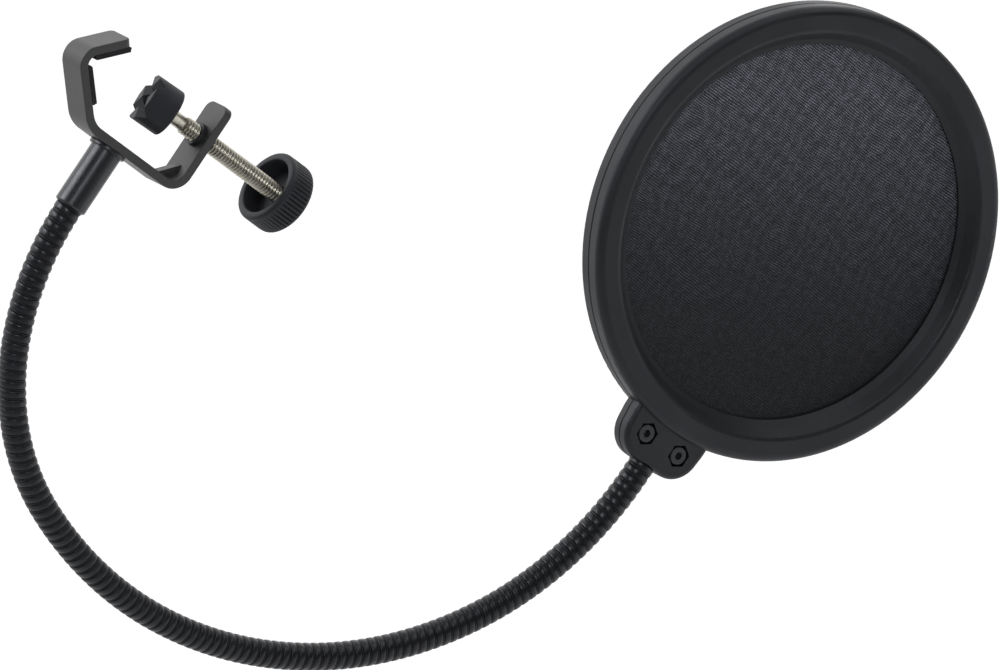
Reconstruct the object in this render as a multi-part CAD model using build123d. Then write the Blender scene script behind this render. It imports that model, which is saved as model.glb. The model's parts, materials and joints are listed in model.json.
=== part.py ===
from build123d import *
import math
import os

# Pop filter: a screw clamp, a flexible gooseneck and a disc with two layers of mesh.
# Millimetres, +Z up. The clamp's profile, the neck and the disc all lie along the XZ plane,
# and the disc faces -Y. The origin is the middle of a 25 mm tube held in the clamp.

# ---- clamp: its own frame has x along the screw, y across the strip, z away from the base,
# ---- and its origin in the middle of the gripped tube, which lies a little below the screw ----
CLAMP_TILT = 39.5           # degrees that the screw points below +X
GRIP_RADIUS = 12.5          # tube that the origin is centred on
STRIP_WIDTH = 12.5
STRIP_THICKNESS = 3.0
JAW_HALF_ANGLE = 43.5       # each side of the V to the direction of the screw
APEX_X = -25.2              # sharp outer corner of the V
LIP_LENGTH = 19.6
BASE_Z = -18.8              # outer face of the base
ARM_X = 38.1                # outer face of the arm
ARM_TOP_Z = 14.2
ARM_CORNER = 3.0
BEND_RADII = (6.4, 11.0, 7.5)   # outer bends: apex, wall to base, base to arm
PAD_LENGTH = 13.2
PAD_LEDGE = 0.7             # thin foot along each pad, under its raised tread
PAD_INSET = 0.5             # from the foot's sides to the tread
PAD_END_ROUND = 1.0
STRIP_EDGE = 0.45
LIP_CORNER = 2.0
SOFT_EDGE = 0.35
PAD_GAP = 1.3               # clear of the bend at the apex
GUSSET_WIDTH = 3.2
GUSSET_SIDE = 7.0
GUSSET_BITE = 0.5           # how far the gusset runs into the strip

# ---- screw, knob and jaw ----
SCREW_Z = 1.8               # height of the screw axis above the middle of the tube
SCREW_RADIUS = 3.1          # 1/4 inch, 20 threads to the inch
TIP_RADIUS = 2.4
RUNNING_GAP = 0.05
TIP_END_X = 14.3
THREAD_START_X = 28.1
TIP_CHAMFER = 0.4
JAW_PIVOT_X = 16.7          # the jaw tilts and turns about this point on the screw
JAW_TILT = 19.0             # degrees that the jaw leans at rest
JAW_REACH = 6.0             # from the pivot to the jaw's front face
JAW_TAIL = 4.3              # from the pivot to its back
JAW_RADIUS = 8.3
JAW_GROOVE_WIDTH = 5.3
JAW_GROOVE_DEPTH = 2.8
JAW_BACK_EDGE = 0.8
SEAT_RADIUS = 3.6           # ball washer that the jaw tilts on
SEAT_END = 2.3              # from the pivot to the ball washer's thin end
JAW_MOUTH = 2.65            # radius of the cone behind the seat, measured at the pivot
JAW_MOUTH_SLOPE = 0.445
CLIP_THICKNESS = 0.8
CLIP_RADIUS = 3.4
CLIP_GAP = 3.0
GROOVE_RADIUS = 1.9
BUSH_RADIUS = 3.6
BUSH_FLANGE_RADIUS = 4.1
BUSH_FLANGE = 1.8
KNOB_RIM_X = 67.6
KNOB_LENGTH = 11.0
KNOB_RADIUS = 12.2
KNOB_CUP_RADIUS = 9.8
KNOB_FLOOR = 3.0
KNOB_BOSS_RADIUS = 4.6
KNOB_BOSS_DEPTH = 5.5       # from the rim down to the boss
KNOB_FRONT_EDGE = (0.6, 1.2)    # rise and run of the chamfer at the rim
KNOB_BACK_EDGE = (1.9, 2.6)
RIB_COUNT = 54
RIB_RADIUS = 0.45

# ---- ferrule between the clamp and the neck ----
FERRULE_X = 8.9
WASHER_RADIUS = 6.5
WASHER_THICKNESS = 1.4
FERRULE_RADIUS = 5.5
FERRULE_LENGTH = 21.5
FERRULE_SOCKET = 12.0
FIXING_RADIUS = 2.0
FIXING_HEAD_RADIUS = 3.9
FIXING_SLOT = (4.2, 0.9, 1.2)   # length, width and depth of the cross recess
FERRULE_EDGE = 0.5

# ---- gooseneck ----
JOINT_COUNT = 12
JOINT_PITCH = 31.0
NECK_RADII = (96.0, 83.0, 137.0, 147.0, 142.0, 126.0)      # bends from clamp to disc
NECK_SPANS = (1.5, 2.0, 2.0, 2.0, 2.0, 2.5)                # their lengths, in joint pitches
CASING_RADIUS = 4.65
CASING_BORE = 3.4
CASING_GAP = 1.35           # from each joint's centre to the casing on either side
CORE_RADIUS = 3.35
BALL_RADIUS = 2.6
STEM_RADIUS = 1.4
CORE_SHOULDER = 3.15
SOCKET_REACH = 0.9          # how far a socket passes the centre of its ball
CORE_HEAD_RADIUS = 3.8
CORE_HEAD_LENGTH = 3.0
CORE_INTO_TAB = 12.0

# ---- disc: its own frame has y through it and the tab down -Z, with its centre at the origin ----
RING_RADIUS = 77.5
FRONT_DEPTH = 6.5
BACK_DEPTH = 5.5
FLAT_INNER_RADIUS = 69.2
COVE = (2.0, 3.6)           # out from the lip, and back from the front, to the cove's corner
LIP_RADIUS = 64.0
LIP_DEPTH = 0.9             # thickness of the lip in front of the cloth
BACK_LIP_DEPTH = 0.8
RING_FILLET = 2.8
BACK_FILLET = 2.0
RING_INNER_FILLET = 2.2
PARTING_EDGE = 0.4          # chamfer on both halves where they meet
CHANNEL_RADIUS = 67.5       # clearance radius of the clamped cloth and spacer
LIP_FRONT_Y = -0.5
MESH_THICKNESS = 0.3
MESH_SPACING = 2.5
TAB_REACH = 91.5            # from the disc's centre to where the neck enters
TAB_HALF_WIDTH = 16.6
TAB_FOOT_HALF_WIDTH = 15.2
TAB_SHOULDER = 8.0
TAB_SHOULDER_ROUND = 6.0
TAB_CORNER = 10.0
TAB_FRONT_DEPTH = 4.5
TAB_BACK_DEPTH = 3.9
TAB_FRONT_EDGE = 1.8
TAB_BACK_EDGE = 1.0
TAB_ROOT = 70.0
TAB_SCREW_DISTANCE = 82.6
TAB_SCREW_SPREAD = 7.7
M3_RADIUS = 1.5
M3_HEAD_RADIUS = 3.05
M3_HEAD_HEIGHT = 3.0
M3_SOCKET_WIDTH = 2.5
M3_SOCKET_DEPTH = 1.6
M3_NUT_WIDTH = 5.5
M3_NUT_HEIGHT = 2.4
POCKET_WIDTH = 7.2
POCKET_DEPTH = 3.2
NUT_RECESS = 0.2


def in_clamp(shape):
    """Turns a shape from the clamp's frame into the part's frame."""
    return Rot(0, CLAMP_TILT, 0) * shape


def on_screw(shape):
    """Turns a shape made about the X axis onto the clamp's screw, in the part's frame."""
    return in_clamp(Pos(0, 0, SCREW_Z) * shape)


def rod_x(radius, x_from, x_to):
    """A round bar along the X axis."""
    return Plane.YZ.offset(x_from) * extrude_circle(radius, x_to - x_from)


def extrude_circle(radius, length):
    """A cylinder that stands on the local XY plane."""
    return Cylinder(radius, length, align=(Align.CENTER, Align.CENTER, Align.MIN))


def slab(face, half_width):
    """Extrudes a face drawn on the XZ plane to both sides of it."""
    return extrude(face, amount=half_width, both=True)


def unit(angle):
    """Direction in a plane at an angle in degrees."""
    return Vector(math.cos(math.radians(angle)), math.sin(math.radians(angle)))


def bracket_corners(inset):
    """Corners of the bracket's bent strip, moved inwards from its outer face by inset."""
    apex = Vector(APEX_X + inset / math.sin(math.radians(JAW_HALF_ANGLE)), 0)
    lip_normal = unit(JAW_HALF_ANGLE - 90) * inset
    lip_end = Vector(APEX_X, 0) + unit(JAW_HALF_ANGLE) * LIP_LENGTH + lip_normal
    base_z = BASE_Z + inset
    wall_run = -base_z / math.tan(math.radians(JAW_HALF_ANGLE))
    wall_foot = Vector(apex.X + wall_run, base_z)
    arm_foot = Vector(ARM_X - inset, base_z)
    arm_top = Vector(ARM_X - inset, ARM_TOP_Z)
    return [lip_end, apex, wall_foot, arm_foot, arm_top]


def clamp_bracket():
    """Flat strip bent into a V hook, a base and an arm, with a pressed gusset."""
    outer_corners = bracket_corners(0)
    inner_corners = bracket_corners(STRIP_THICKNESS)
    inner_radii = [radius - STRIP_THICKNESS for radius in BEND_RADII]
    outer = FilletPolyline(*outer_corners, radius=list(BEND_RADII))
    inner = FilletPolyline(*inner_corners, radius=inner_radii)
    lip_end = Line(outer_corners[0], inner_corners[0])
    arm_end = Line(outer_corners[-1], inner_corners[-1])
    strip = slab(Plane.XZ * make_face([outer, lip_end, inner, arm_end]), STRIP_WIDTH / 2)
    ends = strip.edges().filter_by(Axis.X).group_by(Axis.Z)[-1]
    strip = fillet(ends, ARM_CORNER)
    strip = fillet([edge for edge in strip.edges() if is_lip_corner(edge)], LIP_CORNER)
    strip = fillet([edge for edge in strip.edges() if is_side_edge(edge)], STRIP_EDGE)
    foot = inner_corners[3]
    gusset_face = Polyline(
        foot + Vector(GUSSET_BITE, -GUSSET_BITE),
        foot + Vector(-GUSSET_SIDE, -GUSSET_BITE),
        foot + Vector(GUSSET_BITE, GUSSET_SIDE),
        close=True,
    )
    strip += slab(Plane.XZ * make_face(gusset_face), GUSSET_WIDTH / 2)
    strip -= Pos(0, 0, SCREW_Z) * rod_x(BUSH_RADIUS, ARM_X - 2 * STRIP_THICKNESS, ARM_X + 1)
    seat = Location((FERRULE_X, 0, BASE_Z))
    strip -= seat * extrude_circle(FIXING_RADIUS, STRIP_THICKNESS)
    sink_depth = FIXING_HEAD_RADIUS - FIXING_RADIUS
    sink = Cone(
        FIXING_RADIUS,
        FIXING_HEAD_RADIUS,
        sink_depth,
        align=(Align.CENTER, Align.CENTER, Align.MIN),
    )
    strip -= seat * Pos(0, 0, STRIP_THICKNESS - sink_depth) * sink
    return in_clamp(strip)


def is_side_edge(edge):
    """True for the edges that lie along either side of the strip."""
    box = edge.bounding_box()
    flat = box.max.Y - box.min.Y < 0.01
    return flat and abs(abs(box.max.Y) - STRIP_WIDTH / 2) < 0.01 and edge.length > LIP_CORNER / 2


def is_lip_corner(edge):
    """True for the short edges through the strip at the free end of the lip."""
    middle = edge.center()
    near_end = middle.Z > LIP_LENGTH * 0.55 and middle.X < 0
    return near_end and abs(abs(middle.Y) - STRIP_WIDTH / 2) < 0.01 and edge.length < 4


def pad(side):
    """Rubber pad on one inner face of the V, with a thin foot and a raised tread."""
    inner_apex = bracket_corners(STRIP_THICKNESS)[1]
    along = unit(side * JAW_HALF_ANGLE)
    inward = unit(side * (JAW_HALF_ANGLE - 90))
    depth = pad_face_distance()
    start = inner_apex + along * (depth + PAD_GAP)
    foot = [
        start,
        start + along * PAD_LENGTH,
        start + along * PAD_LENGTH + inward * PAD_LEDGE,
        start + inward * PAD_LEDGE,
    ]
    tread_start = start + inward * PAD_LEDGE
    tread = [
        tread_start,
        tread_start + along * PAD_LENGTH,
        tread_start + along * PAD_LENGTH + inward * (depth - PAD_LEDGE),
        tread_start + inward * (depth - PAD_LEDGE),
    ]
    body = slab(Plane.XZ * make_face(Polyline(*foot, close=True)), STRIP_WIDTH / 2)
    raised = slab(Plane.XZ * make_face(Polyline(*tread, close=True)), STRIP_WIDTH / 2 - PAD_INSET)
    top = tread[2] - inward * SOFT_EDGE
    outer = [edge for edge in raised.edges() if on_tread(edge, top, inward)]
    near_apex = min(outer, key=lambda edge: edge.center().X)
    raised = fillet(near_apex, PAD_END_ROUND)
    outer = [edge for edge in raised.edges() if on_tread(edge, top, inward)]
    raised = fillet(outer, SOFT_EDGE)
    return in_clamp(body + raised)


def on_tread(edge, top, inward):
    """True for the edges round a pad's tread."""
    across = Vector(inward.X, 0, inward.Y)
    level = Vector(top.X, 0, top.Y)
    return all((corner.center() - level).dot(across) > 0 for corner in edge.vertices())


def pad_face_distance():
    """Pad thickness that brings both pads onto the gripped tube at the origin."""
    inner_apex = bracket_corners(STRIP_THICKNESS)[1]
    wall_distance = -inner_apex.X * math.sin(math.radians(JAW_HALF_ANGLE))
    return wall_distance - GRIP_RADIUS


def screw_bush():
    """Threaded bush pressed through the arm, with a flange on the inner face."""
    inner_face = ARM_X - STRIP_THICKNESS
    bush = rod_x(BUSH_RADIUS, inner_face, ARM_X)
    bush += rod_x(BUSH_FLANGE_RADIUS, inner_face - BUSH_FLANGE, inner_face)
    bush -= rod_x(SCREW_RADIUS + RUNNING_GAP, inner_face - BUSH_FLANGE - 1, ARM_X + 1)
    return on_screw(bush)


def clamp_screw():
    """Threaded rod with a turned tip, a clip groove and a chamfered end."""
    rod_end = KNOB_RIM_X + KNOB_LENGTH - KNOB_FLOOR
    screw = rod_x(SCREW_RADIUS, THREAD_START_X, rod_end)
    screw += rod_x(TIP_RADIUS, TIP_END_X, THREAD_START_X)
    groove_from = JAW_PIVOT_X - CLIP_THICKNESS / 2 - RUNNING_GAP
    groove_to = JAW_PIVOT_X + CLIP_THICKNESS / 2 + RUNNING_GAP
    screw -= rod_x(TIP_RADIUS + 1, groove_from, groove_to) - rod_x(GROOVE_RADIUS, groove_from, groove_to)
    tip_edge = screw.edges().filter_by(GeomType.CIRCLE).sort_by(Axis.X)[0]
    return on_screw(chamfer(tip_edge, TIP_CHAMFER))


def jaw_clip():
    """Retaining ring that sits in the screw's groove and holds the jaw's seat."""
    clip = rod_x(CLIP_RADIUS, -CLIP_THICKNESS / 2, CLIP_THICKNESS / 2)
    clip -= rod_x(GROOVE_RADIUS + RUNNING_GAP, -CLIP_THICKNESS, CLIP_THICKNESS)
    low = (Align.CENTER, Align.CENTER, Align.MIN)
    clip -= Box(2 * CLIP_THICKNESS, CLIP_GAP, 2 * CLIP_RADIUS, align=low)
    return on_screw(Pos(JAW_PIVOT_X, 0, 0) * clip)


def jaw_seat():
    """Ball washer behind the clip that the jaw tilts and turns on."""
    start = CLIP_THICKNESS / 2 + RUNNING_GAP
    bore = TIP_RADIUS + RUNNING_GAP
    start_radius = math.sqrt(SEAT_RADIUS ** 2 - start ** 2)
    end_radius = math.sqrt(SEAT_RADIUS ** 2 - SEAT_END ** 2)
    ball = RadiusArc((start, start_radius), (SEAT_END, end_radius), SEAT_RADIUS)
    sides = Polyline((SEAT_END, end_radius), (SEAT_END, bore), (start, bore), (start, start_radius))
    seat = revolve(Plane.XZ * make_face([ball, sides]), Axis.X)
    return on_screw(Pos(JAW_PIVOT_X, 0, 0) * seat)


def jaw():
    """Round plastic foot with two crossing V grooves and a socket for the ball washer."""
    body = rod_x(JAW_RADIUS, -JAW_REACH, JAW_TAIL)
    back_edge = body.edges().filter_by(GeomType.CIRCLE).sort_by(Axis.X)[-1]
    body = fillet(back_edge, JAW_BACK_EDGE)
    half_width = JAW_GROOVE_WIDTH / 2
    groove_face = Polyline(
        Vector(-JAW_REACH - 1, -half_width),
        Vector(-JAW_REACH, -half_width),
        Vector(-JAW_REACH + JAW_GROOVE_DEPTH, 0),
        Vector(-JAW_REACH, half_width),
        Vector(-JAW_REACH - 1, half_width),
        close=True,
    )
    groove = slab(Plane.XZ * make_face(groove_face), JAW_RADIUS + 1)
    for turn in (45, -45):
        body -= Rot(turn, 0, 0) * groove
    socket_radius = SEAT_RADIUS + RUNNING_GAP
    body -= rod_x(socket_radius, -JAW_REACH, 0)
    body -= Sphere(socket_radius)
    mouth_end = JAW_TAIL + 1
    mouth_face = Polyline(
        Vector(0, 0),
        Vector(0, JAW_MOUTH),
        Vector(mouth_end, JAW_MOUTH + JAW_MOUTH_SLOPE * mouth_end),
        Vector(mouth_end, 0),
        close=True,
    )
    body -= revolve(Plane.XZ * make_face(mouth_face), Axis.X)
    return on_screw(Pos(JAW_PIVOT_X, 0, 0) * Rot(0, 0, -JAW_TILT) * body)


def knob():
    """Ribbed hand knob, cupped towards the clamp, with a boss for the screw."""
    outline = Circle(KNOB_RADIUS)
    for index in range(RIB_COUNT):
        spoke = unit(360 * index / RIB_COUNT) * KNOB_RADIUS
        outline += Pos(spoke.X, spoke.Y) * Circle(RIB_RADIUS)
    drum = Plane.YZ.offset(KNOB_RIM_X) * extrude(outline, amount=KNOB_LENGTH)
    back = KNOB_RIM_X + KNOB_LENGTH
    front_rise, front_run = KNOB_FRONT_EDGE
    back_rise, back_run = KNOB_BACK_EDGE
    envelope = Polyline(
        Vector(KNOB_RIM_X, 0),
        Vector(KNOB_RIM_X, KNOB_RADIUS - front_rise),
        Vector(KNOB_RIM_X + front_run, KNOB_RADIUS + 1),
        Vector(back - back_run, KNOB_RADIUS + 1),
        Vector(back, KNOB_RADIUS - back_rise),
        Vector(back, 0),
        close=True,
    )
    body = drum & revolve(Plane.XZ * make_face(envelope), Axis.X)
    cup_end = back - KNOB_FLOOR
    cup = rod_x(KNOB_CUP_RADIUS, KNOB_RIM_X - 1, cup_end)
    cup -= rod_x(KNOB_BOSS_RADIUS, KNOB_RIM_X + KNOB_BOSS_DEPTH, cup_end)
    body -= cup
    body -= rod_x(SCREW_RADIUS, KNOB_RIM_X - 1, cup_end)
    return on_screw(body)


def collar_washer():
    """Round collar between the bracket's base and the ferrule."""
    ring = extrude_circle(WASHER_RADIUS, WASHER_THICKNESS)
    ring = fillet(ring.edges().filter_by(GeomType.CIRCLE), SOFT_EDGE)
    ring -= extrude_circle(FIXING_RADIUS, WASHER_THICKNESS)
    return in_clamp(Pos(FERRULE_X, 0, ferrule_top()) * ring)


def ferrule_top():
    """Height of the ferrule's solid end in the clamp's frame."""
    return BASE_Z - WASHER_THICKNESS


def neck_ferrule():
    """Turned ferrule that the neck is crimped into, tapped at its solid end."""
    body = Pos(0, 0, -FERRULE_LENGTH) * extrude_circle(FERRULE_RADIUS, FERRULE_LENGTH)
    mouth = body.edges().filter_by(GeomType.CIRCLE).sort_by(Axis.Z)[0]
    body = chamfer(mouth, FERRULE_EDGE)
    body -= Pos(0, 0, -FERRULE_LENGTH) * extrude_circle(CASING_RADIUS, FERRULE_SOCKET)
    body -= Pos(0, 0, -fixing_length()) * extrude_circle(FIXING_RADIUS, fixing_length())
    return in_clamp(Pos(FERRULE_X, 0, ferrule_top()) * body)


def fixing_length():
    """Thread length of the fixing screw inside the ferrule."""
    return FERRULE_LENGTH - FERRULE_SOCKET - 1


def ferrule_screw():
    """Countersunk screw from inside the base into the ferrule."""
    head_top = BASE_Z + STRIP_THICKNESS
    head_height = FIXING_HEAD_RADIUS - FIXING_RADIUS
    shank_end = ferrule_top() - fixing_length()
    low = (Align.CENTER, Align.CENTER, Align.MIN)
    screw = Pos(0, 0, shank_end) * extrude_circle(FIXING_RADIUS, head_top - head_height - shank_end)
    screw += Pos(0, 0, head_top - head_height) * Cone(FIXING_RADIUS, FIXING_HEAD_RADIUS, head_height, align=low)
    slot = Box(*FIXING_SLOT, align=(Align.CENTER, Align.CENTER, Align.MAX))
    screw -= Pos(0, 0, head_top) * (slot + Rot(0, 0, 90) * slot)
    return in_clamp(Pos(FERRULE_X, 0, 0) * screw)


def neck_start():
    """Where the neck leaves the ferrule, as x, z and heading in degrees."""
    depth = BASE_Z - WASHER_THICKNESS - FERRULE_LENGTH
    tilt = math.radians(CLAMP_TILT)
    x = FERRULE_X * math.cos(tilt) + depth * math.sin(tilt)
    z = -FERRULE_X * math.sin(tilt) + depth * math.cos(tilt)
    return x, z, -90 - CLAMP_TILT


def neck_arcs():
    """The neck's bends in order: start point, heading, radius, and first and last distance."""
    x, z, heading = neck_start()
    travelled = 0
    arcs = []
    for radius, span in zip(NECK_RADII, NECK_SPANS):
        length = span * JOINT_PITCH
        arcs.append((x, z, heading, radius, travelled, travelled + length))
        turn = math.degrees(length / radius)
        x += radius * (math.sin(math.radians(heading + turn)) - math.sin(math.radians(heading)))
        z -= radius * (math.cos(math.radians(heading + turn)) - math.cos(math.radians(heading)))
        heading += turn
        travelled += length
    return arcs


def neck_arc_at(distance):
    """The bend that holds a distance along the neck."""
    for arc in neck_arcs():
        if distance < arc[5] + 1e-6:
            return arc
    return arc


def neck_point(distance):
    """Point and heading on the neck's centre line; straight past both ends."""
    x, z, heading, radius, first, last = neck_arc_at(distance)
    inside = min(max(distance, first), last) - first
    turned = heading + math.degrees(inside / radius)
    x += radius * (math.sin(math.radians(turned)) - math.sin(math.radians(heading)))
    z -= radius * (math.cos(math.radians(turned)) - math.cos(math.radians(heading)))
    extra = distance - first - inside
    x += extra * math.cos(math.radians(turned))
    z += extra * math.sin(math.radians(turned))
    return x, z, turned


def neck_plane(distance):
    """Plane across the neck, with its normal towards the disc."""
    x, z, heading = neck_point(distance)
    tangent = Vector(math.cos(math.radians(heading)), 0, math.sin(math.radians(heading)))
    return Plane(origin=(x, 0, z), x_dir=(0, 1, 0), z_dir=tangent)


def neck_rod(radius, start, end):
    """A round bar that follows the neck's bend from start to end."""
    x, z, heading, bend, first, last = neck_arc_at((start + end) / 2)
    centre_x = x - bend * math.sin(math.radians(heading))
    centre_z = z + bend * math.cos(math.radians(heading))
    axis = Axis((centre_x, 0, centre_z), (0, -1, 0))
    disc = neck_plane(start) * Circle(radius)
    return revolve(disc, axis, revolution_arc=math.degrees((end - start) / bend))


def neck_bar(radius, start, end):
    """A straight round bar off the neck's line at start."""
    return neck_plane(start) * extrude_circle(radius, end - start)


def neck_casing(index):
    """One length of the wound outer casing, between two joints."""
    start = (index - 0.5) * JOINT_PITCH + CASING_GAP
    end = (index + 0.5) * JOINT_PITCH - CASING_GAP
    neck_length = JOINT_COUNT * JOINT_PITCH
    if index == 0:
        start = 0
    if index == JOINT_COUNT:
        end = neck_length
    tube = neck_rod(CASING_RADIUS, start, end) - neck_rod(CASING_BORE, start, end)
    if index == 0:
        tail = neck_bar(CASING_RADIUS, -FERRULE_SOCKET, 0) - neck_bar(CASING_BORE, -FERRULE_SOCKET, 0)
        tube += tail
    return tube


def neck_core(index):
    """One length of the inner spring, with a ball towards the clamp and a socket beyond."""
    joint_before = (index - 0.5) * JOINT_PITCH
    joint_after = (index + 0.5) * JOINT_PITCH
    neck_length = JOINT_COUNT * JOINT_PITCH
    start = joint_before + CORE_SHOULDER
    end = joint_after
    if index == 0:
        start = 0
    if index == JOINT_COUNT:
        end = neck_length
    core = neck_rod(CORE_RADIUS, start, end)
    if index > 0:
        core += neck_plane(joint_before) * Sphere(BALL_RADIUS)
        core += neck_rod(STEM_RADIUS, joint_before, start + 1)
    if index < JOINT_COUNT:
        core += neck_bar(CORE_RADIUS, joint_after, joint_after + SOCKET_REACH)
        core -= neck_plane(joint_after) * Sphere(BALL_RADIUS + RUNNING_GAP)
    if index == 0:
        core += neck_bar(CORE_RADIUS, -FERRULE_SOCKET, 0)
    if index == JOINT_COUNT:
        core += neck_bar(CORE_RADIUS, neck_length, neck_length + CORE_INTO_TAB)
        head_at = neck_length + CORE_INTO_TAB - CORE_HEAD_LENGTH
        head = extrude_circle(CORE_HEAD_RADIUS, CORE_HEAD_LENGTH)
        core += neck_plane(neck_length) * Pos(0, 0, head_at - neck_length) * head
    return core


def in_disc(shape):
    """Turns a shape from the disc's frame into the part's frame."""
    x, z, heading = neck_point(JOINT_COUNT * JOINT_PITCH)
    centre_x = x + TAB_REACH * math.cos(math.radians(heading))
    centre_z = z + TAB_REACH * math.sin(math.radians(heading))
    return Pos(centre_x, 0, centre_z) * Rot(0, 90 - heading, 0) * shape


def disc_y(radius, y_from, y_to):
    """A round plate about the disc's Y axis."""
    plate = extrude_circle(radius, y_to - y_from)
    return Pos(0, y_from, 0) * Rot(-90, 0, 0) * plate


def tab_outline():
    """Outline of the tab on the XZ plane, from inside the ring down to the neck."""
    shoulder = -TAB_ROOT - TAB_SHOULDER
    points = [
        Vector(-TAB_HALF_WIDTH, -TAB_ROOT),
        Vector(-TAB_HALF_WIDTH, shoulder),
        Vector(-TAB_FOOT_HALF_WIDTH, -TAB_REACH),
        Vector(TAB_FOOT_HALF_WIDTH, -TAB_REACH),
        Vector(TAB_HALF_WIDTH, shoulder),
        Vector(TAB_HALF_WIDTH, -TAB_ROOT),
    ]
    rounds = [TAB_SHOULDER_ROUND, TAB_CORNER, TAB_CORNER, TAB_SHOULDER_ROUND]
    outline = FilletPolyline(*points, radius=rounds)
    return Plane.XZ * make_face([outline, Line(points[-1], points[0])])


def tab(y_from, y_to, outer_round):
    """One half of the tab, with a rounded outer edge and a channel for the neck's core."""
    plate = Pos(0, y_from, 0) * extrude(tab_outline(), amount=y_from - y_to)
    outer_face = 0 if y_from < 0 else -1
    rim = plate.edges().group_by(Axis.Y)[outer_face]
    rim = [edge for edge in rim if edge.center().Z < -TAB_ROOT - 1]
    plate = fillet(rim, outer_round)
    seam = plate.edges().group_by(Axis.Y)[-1 if y_from < 0 else 0]
    seam = [edge for edge in seam if edge.center().Z < -TAB_ROOT - 1]
    plate = chamfer(seam, PARTING_EDGE)
    plate -= disc_y(TAB_ROOT + 1, y_from - 1, y_to + 1)
    channel = Pos(0, 0, -TAB_REACH - 1) * extrude_circle(CORE_RADIUS, CORE_INTO_TAB + 1)
    head_foot = CORE_INTO_TAB - TAB_REACH - CORE_HEAD_LENGTH
    channel += Pos(0, 0, head_foot) * extrude_circle(CORE_HEAD_RADIUS, CORE_HEAD_LENGTH)
    return plate - channel


def hexagon_y(across, y_from, y_to):
    """A hexagonal prism along Y, measured across its flats, with a corner towards the disc."""
    face = RegularPolygon(across / 2, 6, major_radius=False, rotation=30)
    return Pos(0, y_from, 0) * Rot(-90, 0, 0) * extrude(face, amount=y_to - y_from)


def at_tab_screws(shape):
    """The same shape at both tab screws."""
    places = [(-TAB_SCREW_SPREAD, 0, -TAB_SCREW_DISTANCE), (TAB_SCREW_SPREAD, 0, -TAB_SCREW_DISTANCE)]
    return [Pos(*place) * shape for place in places]


def ring_section(points):
    """Revolves a section given as radius and y pairs about the disc's axis."""
    corners = [Vector(radius, y) for radius, y in points]
    return revolve(make_face(Polyline(*corners, close=True)), Axis.Y)


def front_ring():
    """Front half of the rim: flat front, coved inner wall, lip over the cloth, and half the tab."""
    cove_out, cove_back = COVE
    ring = ring_section([
        (RING_RADIUS, 0),
        (RING_RADIUS, -FRONT_DEPTH),
        (FLAT_INNER_RADIUS, -FRONT_DEPTH),
        (LIP_RADIUS + cove_out, -FRONT_DEPTH + cove_back),
        (LIP_RADIUS, LIP_FRONT_Y - LIP_DEPTH),
        (LIP_RADIUS, LIP_FRONT_Y),
        (CHANNEL_RADIUS, LIP_FRONT_Y),
        (CHANNEL_RADIUS, 0),
    ])
    ring = fillet(nearest_circles(ring, RING_RADIUS, -FRONT_DEPTH), RING_FILLET)
    ring = chamfer(nearest_circles(ring, RING_RADIUS, 0), PARTING_EDGE)
    ring = fillet(nearest_circles(ring, FLAT_INNER_RADIUS, -FRONT_DEPTH), RING_INNER_FILLET)
    ring += tab(-TAB_FRONT_DEPTH, 0, TAB_FRONT_EDGE)
    pocket_floor = POCKET_DEPTH - TAB_FRONT_DEPTH
    for pocket in at_tab_screws(hexagon_y(POCKET_WIDTH, -TAB_FRONT_DEPTH - 1, pocket_floor)):
        ring -= pocket
    for hole in at_tab_screws(disc_y(M3_RADIUS, -TAB_FRONT_DEPTH, 1)):
        ring -= hole
    return in_disc(ring)


def nearest_circles(shape, radius, y):
    """Circular edges of one radius that lie in one plane across the disc's axis."""
    circles = shape.edges().filter_by(GeomType.CIRCLE)
    return [edge for edge in circles if abs(edge.radius - radius) < 0.01 and abs(edge.center().Y - y) < 0.01]


def back_ring():
    """Back half of the rim, with the nut pockets and half the tab."""
    lip_y = LIP_FRONT_Y + MESH_SPACING + MESH_THICKNESS
    ring = ring_section([
        (RING_RADIUS, 0),
        (RING_RADIUS, BACK_DEPTH),
        (FLAT_INNER_RADIUS, BACK_DEPTH),
        (LIP_RADIUS, lip_y + BACK_LIP_DEPTH),
        (LIP_RADIUS, lip_y),
        (CHANNEL_RADIUS, lip_y),
        (CHANNEL_RADIUS, 0),
    ])
    ring = fillet(nearest_circles(ring, RING_RADIUS, BACK_DEPTH), BACK_FILLET)
    ring = chamfer(nearest_circles(ring, RING_RADIUS, 0), PARTING_EDGE)
    ring = fillet(nearest_circles(ring, FLAT_INNER_RADIUS, BACK_DEPTH), RING_INNER_FILLET)
    ring += tab(0, TAB_BACK_DEPTH, TAB_BACK_EDGE)
    for pocket in at_tab_screws(hexagon_y(M3_NUT_WIDTH, nut_floor(), TAB_BACK_DEPTH + 1)):
        ring -= pocket
    for hole in at_tab_screws(disc_y(M3_RADIUS, -1, TAB_BACK_DEPTH)):
        ring -= hole
    return in_disc(ring)


def nut_floor():
    """Depth of the nut pockets' floor."""
    return TAB_BACK_DEPTH - M3_NUT_HEIGHT - NUT_RECESS


def mesh_disc(y_from):
    """One layer of stretched cloth."""
    return in_disc(disc_y(CHANNEL_RADIUS, y_from, y_from + MESH_THICKNESS))


def spacer_ring():
    """Ring that holds the two layers of cloth apart."""
    y_from = LIP_FRONT_Y + MESH_THICKNESS
    y_to = LIP_FRONT_Y + MESH_SPACING
    return in_disc(disc_y(CHANNEL_RADIUS, y_from, y_to) - disc_y(LIP_RADIUS, y_from - 1, y_to + 1))


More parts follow.
